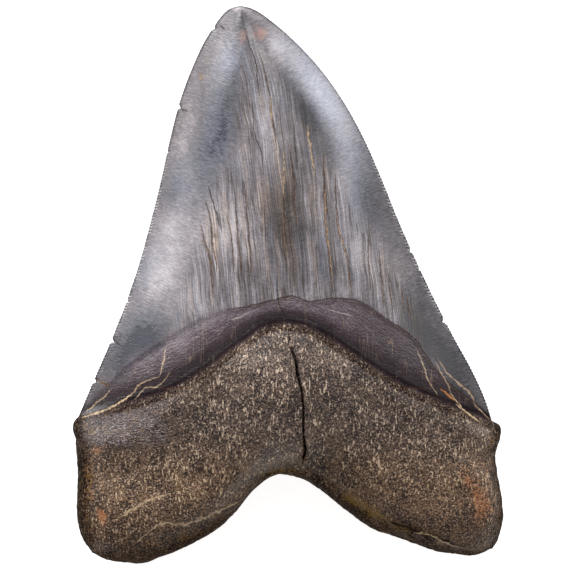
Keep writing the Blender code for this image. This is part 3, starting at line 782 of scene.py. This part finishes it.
# %% A socket with arithmetic
class Socket:
    """The output of one shader node, on which + - * / and abs() add Math nodes."""

    def __init__(self, finish, end):
        self.finish, self.end = finish, end

    def math(self, operation, *values):
        """A Math node on the values, in the order in which they are given."""
        return self.finish.add("ShaderNodeMath", {"operation": operation}, dict(enumerate(values)))

    def __add__(self, other):
        return self.math("ADD", self, other)

    def __sub__(self, other):
        return self.math("SUBTRACT", self, other)

    def __rsub__(self, other):
        return self.math("SUBTRACT", other, self)

    def __mul__(self, other):
        return self.math("MULTIPLY", self, other)

    def __truediv__(self, other):
        return self.math("DIVIDE", self, other)

    def __abs__(self):
        return self.math("ABSOLUTE", self)

    __radd__, __rmul__ = __add__, __mul__


# %% A finish that adds nodes
class Finish:
    """A material, and the one method that adds a node to it: a type, settings, then sockets."""

    def __init__(self, name):
        self.material = bpy.data.materials.new(name)
        self.material.use_nodes = True
        self.tree = self.material.node_tree
        self.tree.nodes.clear()

    def add(self, kind, settings=None, sockets=None, output=0):
        """A new node, wrapped at one of its outputs. The settings come first, because they decide which
        sockets there are; a ramp's stops are given as (position, colour)."""
        node = self.tree.nodes.new(kind)
        settings = dict(settings or {})
        for n, (position, colour) in enumerate(settings.pop("stops", [])):
            stops = node.color_ramp.elements
            stop = stops[n] if n < 2 else stops.new(position)
            stop.position, stop.color = position, colour
        for name, value in settings.items():
            setattr(node, name, value)
        for name, value in (sockets or {}).items():
            if isinstance(value, Socket):
                self.tree.links.new(value.end, node.inputs[name])
            else:
                node.inputs[name].default_value = value
        return Socket(self, node.outputs[output] if node.outputs else None)


finish = Finish("fossil_tooth")


# %% Short names for the nodes used most
def field(name):
    """A field that was kept on the mesh."""
    return finish.add("ShaderNodeAttribute", {"attribute_name": name}, output="Fac")


def step(value, low, high):
    """0 below low, 1 above high and smooth between them."""
    ends = {"Value": value, "From Min": low, "From Max": high, "To Min": 0.0, "To Max": 1.0}
    return finish.add("ShaderNodeMapRange", {"interpolation_type": "SMOOTHSTEP"}, ends)


def least(a, b):
    """The smaller of two values."""
    return finish.add("ShaderNodeMath", {"operation": "MINIMUM"}, {0: a, 1: b})


def cosine(value):
    """The cosine of a value in radians."""
    return finish.add("ShaderNodeMath", {"operation": "COSINE"}, {0: value})


def clouds(x, y, z, detail=0.0, roughness=0.5):
    """Smooth noise, about -1 to 1, one swell for each unit of the three coordinates."""
    spot = finish.add("ShaderNodeCombineXYZ", {}, {"X": x, "Y": y, "Z": z})
    sockets = {"Vector": spot, "Scale": 1.0, "Detail": detail, "Roughness": roughness}
    return finish.add("ShaderNodeTexNoise", {}, sockets) * 2 - 1


# %% Colours
def shown(red, green, blue):
    """A colour from its three values on a screen, 0 to 255, as light: each share to the power 2.2."""
    return (*((part / 255) ** 2.2 for part in (red, green, blue)), 1.0)


def mix(share, a, b):
    """Colour a at share 0, colour b at share 1."""
    return finish.add("ShaderNodeMix", {"data_type": "RGBA"}, {0: share, 6: a, 7: b}, 2)


def paint(colour, *coats):
    """A colour under coats that are laid on in turn. A coat is its share and its own colour."""
    for share, coat in coats:
        colour = mix(share, colour, coat)
    return colour


def dim(colour, amount):
    """A colour times a number."""
    return finish.add("ShaderNodeVectorMath", {"operation": "SCALE"}, {0: colour, "Scale": amount})


def ramp(value, *stops):
    """The colour at a value on a ramp. A stop is its position and the three values of its colour."""
    coloured = [(position, shown(*parts)) for position, *parts in stops]
    return finish.add("ShaderNodeValToRGB", {"stops": coloured}, {"Fac": value})


# %% Where a point is, in millimetres
object_place = finish.add("ShaderNodeTexCoord", output="Object")
millimetres = finish.add("ShaderNodeVectorMath", {"operation": "SCALE"}, {0: object_place, "Scale": 1 / MM})
px, py, pz = (finish.add("ShaderNodeSeparateXYZ", {}, {0: millimetres}, axis) for axis in "XYZ")
print("nodes so far:", len(finish.tree.nodes))

# %% [markdown]
# ## The enamel
#
# Enamel is glassy and grey, and it shows how it was laid down: long threads run from the neck to the tip in
# the middle of the crown, and fine lines fan out towards both blades. It could be painted by hand, but noise
# that is stretched along the grain looks right at every size. One number is enough to carry it, the tone,
# which is 0 where the enamel is darkest and 1 where it is palest. It sums the stains and the painted
# highlights among them, three sizes of plain noise, and the grain.

# %% Tone of the enamel
across, from_edge, fibre = field("across"), field("from_edge"), field("fibre")
mottle = clouds(px / 6, py / 8, pz / 6, 2.0, 0.55)
blotches = clouds(px / 2.3, py / 2.6, pz / 2.3, 2.0, 0.6)
fine = clouds(px / 0.5, py / 0.5, pz / 0.5, 1.0, 0.6)
wander = across + 0.5 * clouds(px / 9, py / 9, pz / 9) + 0.12 * clouds(px / 2.2, py / 3, pz / 3)
broad = clouds(wander / 2.2, py / 22, pz / 14, 1.0)
streaks = clouds(wander / 0.8 + 9, py / 22, pz / 12, 2.0, 0.65)
threads = clouds(wander / 0.27 + 5, py / 15, pz / 9, 2.0, 0.6)
outwards = py - 0.35 * abs(across)
striae = clouds(px / 1.4, outwards / 0.42, pz / 2, 1.5, 0.65)
tone = 0.38 + field("tone") + 0.16 * mottle + 0.12 * blotches + 0.13 * fine
tone = tone + fibre * (0.2 * broad + 0.2 * streaks + 0.5 * threads)
tone = tone + (0.25 - 0.1 * fibre) * striae
print("nodes so far:", len(finish.tree.nodes))

# %% [markdown]
# ## Pearl, brown and slate
#
# The same tone can be a warm grey, a brown or a bluish grey. Three colours are worked out from it, and a
# second number, the warmth, chooses between them: brown where it is above 0, slate where it is below. A
# little of the warmth follows the threads too, so that neighbouring threads differ in hue as well.

# %% Colour of the enamel
ENDS = [(0.0, 50, 47, 50), (1.0, 208, 204, 209)]
PEARL = ENDS + [(0.3, 91, 87, 91), (0.5, 123, 117, 121), (0.75, 167, 161, 165)]
BROWN = shown(50, 37, 24), shown(192, 158, 124)  # at tone 0, and at tone 1
SLATE = shown(42, 43, 60), shown(192, 199, 216)
hue = clouds(wander / 1.3 + 17, py / 18, pz / 10, 1.0)
warmth = field("warmth") + 0.3 * mottle + 0.2 * blotches + fibre * (hue + 0.3 * threads)
brown, slate = step(warmth, 0.0, 1.3) * 0.8, step(0 - warmth, 0.0, 1.0) * 0.8
smudge = step(field("rust") + 0.5 * blotches + 0.2 * fine, 0.2, 0.9) * 0.55
coats = (brown, mix(tone, *BROWN)), (slate, mix(tone, *SLATE)), (smudge, shown(168, 128, 114))
enamel_colour = paint(ramp(tone, *PEARL), *coats)

# %% [markdown]
# ## Hairlines
#
# Between the long cracks the enamel is crazed with lines too thin and too many to place one by one. Noise
# is 0 along a wandering line, so where its absolute value is small there is a thin, even line. Stretched
# along the grain, it gives hairlines; a second, finer set makes the comb of dark lines above the band.

# %% Two sets of fine lines
hair = abs(clouds(wander / 1.1 + 31, py / 24, pz / 15))
here_and_there = clouds(px / 3, py / 12, pz / 6)
hairlines = fibre * (1 - step(hair, 0.0, 0.1)) * step(here_and_there, -0.15, 0.3)
under_enamel, under_root = field("under_enamel"), field("under_root")
low_down = step(under_enamel, -14, -1)
comb = abs(clouds(wander / 0.6 + 61, py / 16, pz / 10))
tufts = clouds(px / 3, py / 7, pz / 6) + 0.2 * low_down
comb = fibre * (1 - step(comb, 0.0, 0.15)) * step(tufts, -0.15, 0.3)
enamel_colour = paint(enamel_colour, (hairlines * 0.6, shown(66, 54, 47)), (comb * 0.72, shown(56, 47, 42)))
print("nodes so far:", len(finish.tree.nodes))

# %% [markdown]
# ## The band
#
# Between enamel and root lies a band of thinner, chestnut-brown stuff that collectors call the bourlette.
# It is finely wrinkled along its length, with maroon patches and thin pale drips. It is darkest along the
# root and paler towards the enamel, partly in its own colour and partly as painted shade of the groove and
# painted sheen on the left. Its upper border is ragged, and on the left it melts into the enamel, so the
# mask there has wide, soft limits.

# %% Where the band is
ragged = under_enamel + 0.35 * clouds(px / 1.6, py / 1.6, pz / 1.6, 1.0)
soft_left = 1 - step(px, -19.0, -11.0)
sharp_border = step(ragged, -0.15, 0.15) * (1 - soft_left)
in_band = sharp_border + step(ragged + 1.2 * mottle, -2.5, 3.0) * soft_left
border = (1 - step(abs(ragged), 0.05, 0.32)) * (1 - soft_left)

# %% Colour of the band
folds = clouds(px / 1.7, under_root / 0.45, pz / 2, 2.0)
# Lighter away from the root, most on the left: partly the band's own colour, partly painted sheen, with
# painted shade along the groove.
high = step(0 - under_root, 3.5, 11.0)
band_tone = 0.25 + 0.24 * mottle + 0.2 * folds + 0.28 * fine + (0.14 + 0.32 * soft_left) * high
band_tone = band_tone + 0.36 * (1 - step(abs(across), 8, 26)) * step(0 - under_root, 1.5, 4.5)
maroon = step(mottle + 0.6 * blotches, 0.1, 0.8) * 0.4
drips = abs(clouds(px + 3, py / 16, pz / 6))
drips = (1 - step(drips, 0.0, 0.08)) * step(clouds(px / 3, py / 5, pz / 4), -0.05, 0.3)
CHESTNUT = [(0.0, 34, 21, 24), (1.0, 138, 127, 134), (0.5, 76, 63, 69)]
coats = (maroon, shown(64, 44, 47)), (drips * 0.42, shown(150, 126, 106))
band_colour = paint(ramp(band_tone, *CHESTNUT), *coats)
colour = paint(enamel_colour, (in_band, band_colour), (border * 0.8, shown(66, 48, 38)))
print("nodes so far:", len(finish.tree.nodes))

# %% [markdown]
# ## The root
#
# The root is porous bone, soaked dark brown, with pale mineral in its pores. Seen close, there are four
# things: a gritty ground, dark pits, pale dust, and specks. Most specks are long, up and down with the
# bone's fibres, and lie densest in the middle; the rest are round. Each is a noise cut off at a threshold,
# and the specks field shifts the threshold. Towards the lower edge the ground is a warmer brown.

# %% Grain of the root
grit = clouds(px / 0.42, py / 0.42, pz / 0.42)
worms = clouds(px / 0.5, py / 0.7, pz / 0.6, 2.0, 0.6)
grains = clouds((px + 0.2 * worms) / 0.5, py / 1.6, pz, 2.0, 0.55)
density = field("specks") + 0.45 * clouds(px / 3, py / 3, pz / 3) + 0.2 * mottle
crumpled, painted_shade = field("crumpled"), field("painted_shade")
long_specks = step(grains + 0.3 * density - 0.6 * crumpled, 0.18, 0.36)
round_specks = step(worms + 0.25 * grit + 0.1 * density - 0.3 * crumpled, 0.19, 0.42)
pits = step(0 - worms - 0.5 * grit, 0.2, 0.55)
dust = step(grit + 0.4 * fine, 0.16, 0.5)

# %% Colour of the root
low = 1 - step(py, -52, -32)
ground_dark = mix(low, shown(46, 37, 35), shown(49, 35, 27))
ground_light = mix(low, shown(110, 92, 82), shown(126, 97, 73))
ground = mix(step(1.2 * grit + 0.4 * blotches + 0.7 * mottle, -0.6, 0.6), ground_dark, ground_light)
mineral = mix(low, shown(222, 197, 174), shown(214, 182, 146))
root_colour = paint(
    ground,
    (pits * (0.7 - 0.35 * low), shown(20, 14, 12)),
    (dust * 0.24, shown(176, 152, 134)),
    (round_specks * 0.75, shown(204, 178, 155)),
    (long_specks * step(fine + 0.6, 0.0, 0.7) * 0.95, mineral),
)
print("nodes so far:", len(finish.tree.nodes))

# %% [markdown]
# ## Painted highlights, painted shade and stains of the root
#
# On the left shoulder the bone is polished and crumpled: its tops carry painted greyish highlights, and the
# creases between them painted shade, nearly black. Rust has settled on both flanks, and olive silt in the
# hollows of the lower edge. The root is painted darker where it turns away at its outline: partly painted
# shade, partly a darker stain there. Painted shade also darkens the groove above the root and the lip along
# its border.

# %% Crumples with painted highlights and shade, rust, painted edge shade and silt
network = abs(clouds(px / 1.3 + 0.3 * grains, py / 0.7, pz, 1.0))
# Painted highlights on the crumpled tops, and painted shade in the creases between them.
crumple_glints, creases = crumpled * step(network, 0.1, 0.3), crumpled * (1 - step(network, 0.03, 0.12))
rust = step(field("rust") + 0.5 * grit + 0.5 * worms + 0.4 * blotches, 0.25, 0.95)
coats = (crumple_glints * 0.3, shown(168, 160, 172)), (creases * 0.6, shown(24, 18, 20))
root_colour = paint(root_colour, *coats, (rust * 0.55, shown(190, 120, 74)))
# Painted shade: the root is dimmed towards its outline, where it turns away, partly also as a darker stain,
# and in the patches of painted shade.
shade = step(field("from_outline") + clouds(px / 3, py / 3, pz / 3, 1.0), 0.0, 4.5)
root_colour = dim(root_colour, (0.3 + 0.7 * shade) * (1 - painted_shade))
silt = step(field("silt") + 0.5 * grit + 0.6 * blotches, 0.2, 0.9)
root_colour = mix(silt * 0.68, root_colour, shown(120, 91, 44))

# %% Join the root to the rest
in_root = step(under_root + 0.5 * clouds(px / 1.2, py / 1.2, pz / 1.2, 1.0), -0.6, 0.7)
colour = mix(in_root, colour, root_colour)
# Painted shade: the groove above the root is dimmed, and so is the lip along the root's border, except at
# its far left end.
trough = 1 - step(abs(under_root + 1.4), 0.2, 1.7)
shaded_lip = (1 - step(abs(under_root), 0.9, 2.4)) * step(px, -52.0, -40.0)
colour = dim(dim(colour, 1 - 0.5 * trough), 1 - 0.45 * shaded_lip)
print("nodes so far:", len(finish.tree.nodes))

# %% [markdown]
# ## Cracks in their colours
#
# A crack's field is its distance in half widths, so the nearest of several cracks is the smallest absolute
# value. Noise added before the absolute value makes the line swing to and fro and change its width. Clean
# cracks are dark or brown and swing less; filled ones are tan, rusty or pale. The fissure is nearly black.


# %% The nearest crack of a colour
def nearest_crack(colour, swing):
    """The smallest distance to a crack of one colour, counted in half widths, after the swing is added."""
    mine = [abs(field(f"crack_{n}") + swing) for n, crack in enumerate(CRACKS) if crack[0] == colour]
    nearest = mine[0]
    for other in mine[1:]:
        nearest = least(nearest, other)
    return nearest


swing = 2.0 * clouds(px / 1.4, py / 2.0, pz / 2) + 1.8 * clouds(px / 0.7, py / 0.8, pz / 0.7)
swings = {"dark": 0.6 * swing, "brown": 0.6 * swing, "tan": swing, "rust": swing, "pale": swing}
lines = {name: 1 - step(nearest_crack(name, sway), 0.2, 2.2) for name, sway in swings.items()}
broken = step(clouds(px / 0.8, py / 1.1, pz / 0.8, 2.0) + 0.25, 0.0, 0.5)

# %% Lay the cracks over the colour
colour = paint(
    colour,
    (lines["dark"] * 0.85, mix(in_root, shown(44, 36, 36), shown(12, 8, 7))),
    (lines["brown"] * 0.85, mix(broken * 0.5, shown(52, 38, 30), shown(128, 96, 68))),
    (lines["tan"] * (0.4 + 0.55 * broken), mix(in_band, shown(186, 156, 124), shown(204, 176, 142))),
    (lines["rust"], shown(206, 132, 70)),
    (lines["pale"] * 0.7, shown(170, 162, 160)),
)
jagged = field("fissure") + 1.2 * clouds(px / 2, py / 2, pz / 2) + 0.8 * clouds(px / 0.7, py / 0.7, pz / 0.7)
crevice = 1 - step(abs(jagged), 0.4, 1.2)
colour = mix(crevice, colour, shown(14, 10, 9))
print("nodes so far:", len(finish.tree.nodes))

# %% [markdown]
# ## The cutting edge's colour
#
# The last half millimetre along the whole outline is dimmer. In the middle of both blades the serrations
# carry painted highlights, with painted shade in the gaps between them. The serration field counts them down
# the blade, so a cosine of it is in step with the bumps that the mesh has.

# %% Dim rim, painted highlights and shade on the serrations
rim = 1 - step(from_edge, 0.1, 0.7)
colour = dim(colour, 1 - 0.35 * rim)
count = field("serration")
wave = cosine(count * (2 * math.pi))
# Painted highlights on the serrations' bumps, and painted shade in the gaps between them.
lit_serrations = (1 - step(from_edge, 0.5, 1.0)) * step(count, 48, 75) * (1 - step(count, 105, 130))
lit_serrations = lit_serrations * step(blotches + 0.25, -0.1, 0.4)
gap_shade, bump_highlights = lit_serrations * step(wave, -0.4, 0.5), lit_serrations * step(0 - wave, -0.1, 0.6)
colour = paint(colour, (gap_shade * 0.4, shown(70, 66, 70)), (bump_highlights * 0.65, shown(226, 224, 226)))

# %% [markdown]
# ## Gloss and fine relief
#
# The mesh has the relief down to half a millimetre. What is finer goes into the normals through one Bump
# node, which reads a height in millimetres: threads and striae on the enamel, folds on the band, pits and
# grains on the root. Each part's height counts only inside its own mask.

# %% Fine relief
enamel_relief = fibre * (0.04 * streaks + 0.03 * threads) + (1 - fibre) * 0.035 * striae + 0.018 * fine
band_relief = 0.07 * folds + 0.05 * fine + 0.05 * clouds(px / 1.1, py / 0.45, pz, 2.0)
bone_relief = (1 - 0.6 * crumpled) * (0.14 * worms + 0.08 * grains + 0.07 * grit)
bone_relief = bone_relief + 0.5 * crumpled * network
height = enamel_relief * (1 - in_band) + band_relief * in_band * (1 - in_root) + bone_relief * in_root
height = height - 0.03 * hairlines - 0.06 * border
bump = finish.add("ShaderNodeBump", {}, {"Strength": 1.0, "Distance": MM, "Height": height}, "Normal")

# %% [markdown]
# ## Two kinds of shine
#
# Nearly everything is polished, but dirt in the cracks, along the rims and in the hollows is dull, and a
# dull surface also mirrors less. Roughness can be painted, yet the strength of the mirror is one number for
# a whole shader. So there are two shaders of the same colour, one glossy and one matt, and a Mix Shader
# takes the matt one where the surface is dirty or hollow.

# %% Glossy and matt
roughness = 0.34 + 0.06 * mottle + 0.02 * in_band + 0.02 * in_root + 0.06 * fine - 0.08 * crumpled
looks = {"Base Color": colour, "Normal": bump}
glossy = finish.add("ShaderNodeBsdfPrincipled", {}, {**looks, "Roughness": roughness, "IOR": 1.5})
matt = finish.add("ShaderNodeBsdfPrincipled", {}, {**looks, "Roughness": 0.9, "IOR": 1.15})
dull = in_root * (1 - shade + 1.5 * painted_shade) + rim + shaded_lip + crevice + 0.5 * (lines["dark"] + lines["brown"])
shader = finish.add("ShaderNodeMixShader", {}, {0: least(dull, 1.0), 1: glossy, 2: matt})
finish.add("ShaderNodeOutputMaterial", {}, {"Surface": shader})
tooth.data.materials.append(finish.material)
print("nodes in the finish:", len(finish.tree.nodes))

# %% [markdown]
# ## The camera
#
# The tooth lies down, so it is seen from straight above, with its tip towards the top of the picture. A
# long lens from far away keeps its proportions: 1.6 m away, and as long as it takes for 142.5 mm of the
# table to fill the picture's width.

# %% Look straight down
scene = bpy.context.scene
DISTANCE = 1.6
SEEN_WIDTH = 0.1425
SENSOR = 36.0
MIDDLE = (-0.00075, -0.00025)
SHARP_LEVEL = 0.008  # the height over the table at which a millimetre is as long as SEEN_WIDTH says
lens = bpy.data.cameras.new("camera")
lens.sensor_width = SENSOR
lens.lens = SENSOR * DISTANCE / SEEN_WIDTH
lens.clip_end = 10
camera = bpy.data.objects.new("camera", lens)
camera.location = (*MIDDLE, DISTANCE + SHARP_LEVEL)
scene.collection.objects.link(camera)
scene.camera = camera
print("lens, mm:", round(lens.lens, 1))

# %% [markdown]
# ## The table
#
# The tooth lies on a plain white table that glows a little, as a light table does, so that the shadow
# beside the tooth stays faint. It lies half a millimetre under the tooth's lowest points, and it is part of
# the stage, not of the tooth.

# %% A white table
TABLE_HALF = 2.0
TABLE_LEVEL = -0.0005
TABLE_GLOW = 0.8
signs = ((-1, -1), (1, -1), (1, 1), (-1, 1))
corners = [(sx * TABLE_HALF, sy * TABLE_HALF, TABLE_LEVEL) for sx, sy in signs]
table_mesh = bpy.data.meshes.new("table")
table_mesh.from_pydata(corners, [], [(0, 1, 2, 3)])
white_table = bpy.data.objects.new("table", table_mesh)
scene.collection.objects.link(white_table)
paper = Finish("white_paper")
paper_look = {"Base Color": (0.9, 0.9, 0.9, 1), "Roughness": 0.9, "Emission Color": (1, 1, 1, 1)}
paper_shader = paper.add("ShaderNodeBsdfPrincipled", {}, {**paper_look, "Emission Strength": TABLE_GLOW})
paper.add("ShaderNodeOutputMaterial", {}, {"Surface": paper_shader})
table_mesh.materials.append(paper.material)
print("table, m:", 2 * TABLE_HALF, "square")

# %% [markdown]
# ## Soft light
#
# Glossy things are lit by large, soft lights, because their shine is a picture of the lamps. The main one
# stands low at the upper left and draws the bright flank along the left blade. A weaker one beside it
# rounds the left edge, a small high one lights the top, and a tall one opens the right side. A pale world
# fills the shadows.


# %% Four lamps and a pale world
def sky(bearing, tilt, distance):
    """A place round the tooth: its bearing from +X and its tilt from straight up, in degrees."""
    a, b = math.radians(bearing), math.radians(tilt)
    return distance * math.sin(b) * math.cos(a), distance * math.sin(b) * math.sin(a), distance * math.cos(b)


def lamp(name, place, size, power):
    """A rectangular lamp that faces the middle of the tooth."""
    light = bpy.data.lights.new(name, "AREA")
    light.shape = "RECTANGLE"
    light.size, light.size_y = size
    light.energy = power
    holder = bpy.data.objects.new(name, light)
    holder.location = place
    holder.rotation_euler = (Vector((0, 0, 0.01)) - Vector(place)).to_track_quat("-Z", "Y").to_euler()
    scene.collection.objects.link(holder)


WORLD_LIGHT = 0.32
lamp("left", sky(163, 73, 1.2), (0.55, 0.6), 2.4)
lamp("key", sky(126, 73, 1.0), (0.45, 0.45), 9)
lamp("top", sky(75, 45, 1.0), (0.3, 0.3), 4.5)
lamp("right", sky(36, 78, 1.2), (0.5, 0.8), 3.0)
world = bpy.data.worlds.new("world")
world.use_nodes = True
world.node_tree.nodes["Background"].inputs["Color"].default_value = (1, 1, 1, 1)
world.node_tree.nodes["Background"].inputs["Strength"].default_value = WORLD_LIGHT
scene.world = world
scene.view_settings.view_transform = "Standard"
print("lamps:", len(bpy.data.lights))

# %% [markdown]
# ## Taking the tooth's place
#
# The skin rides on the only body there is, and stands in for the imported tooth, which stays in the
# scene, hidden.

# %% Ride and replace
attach(tooth, "root")
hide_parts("tooth")
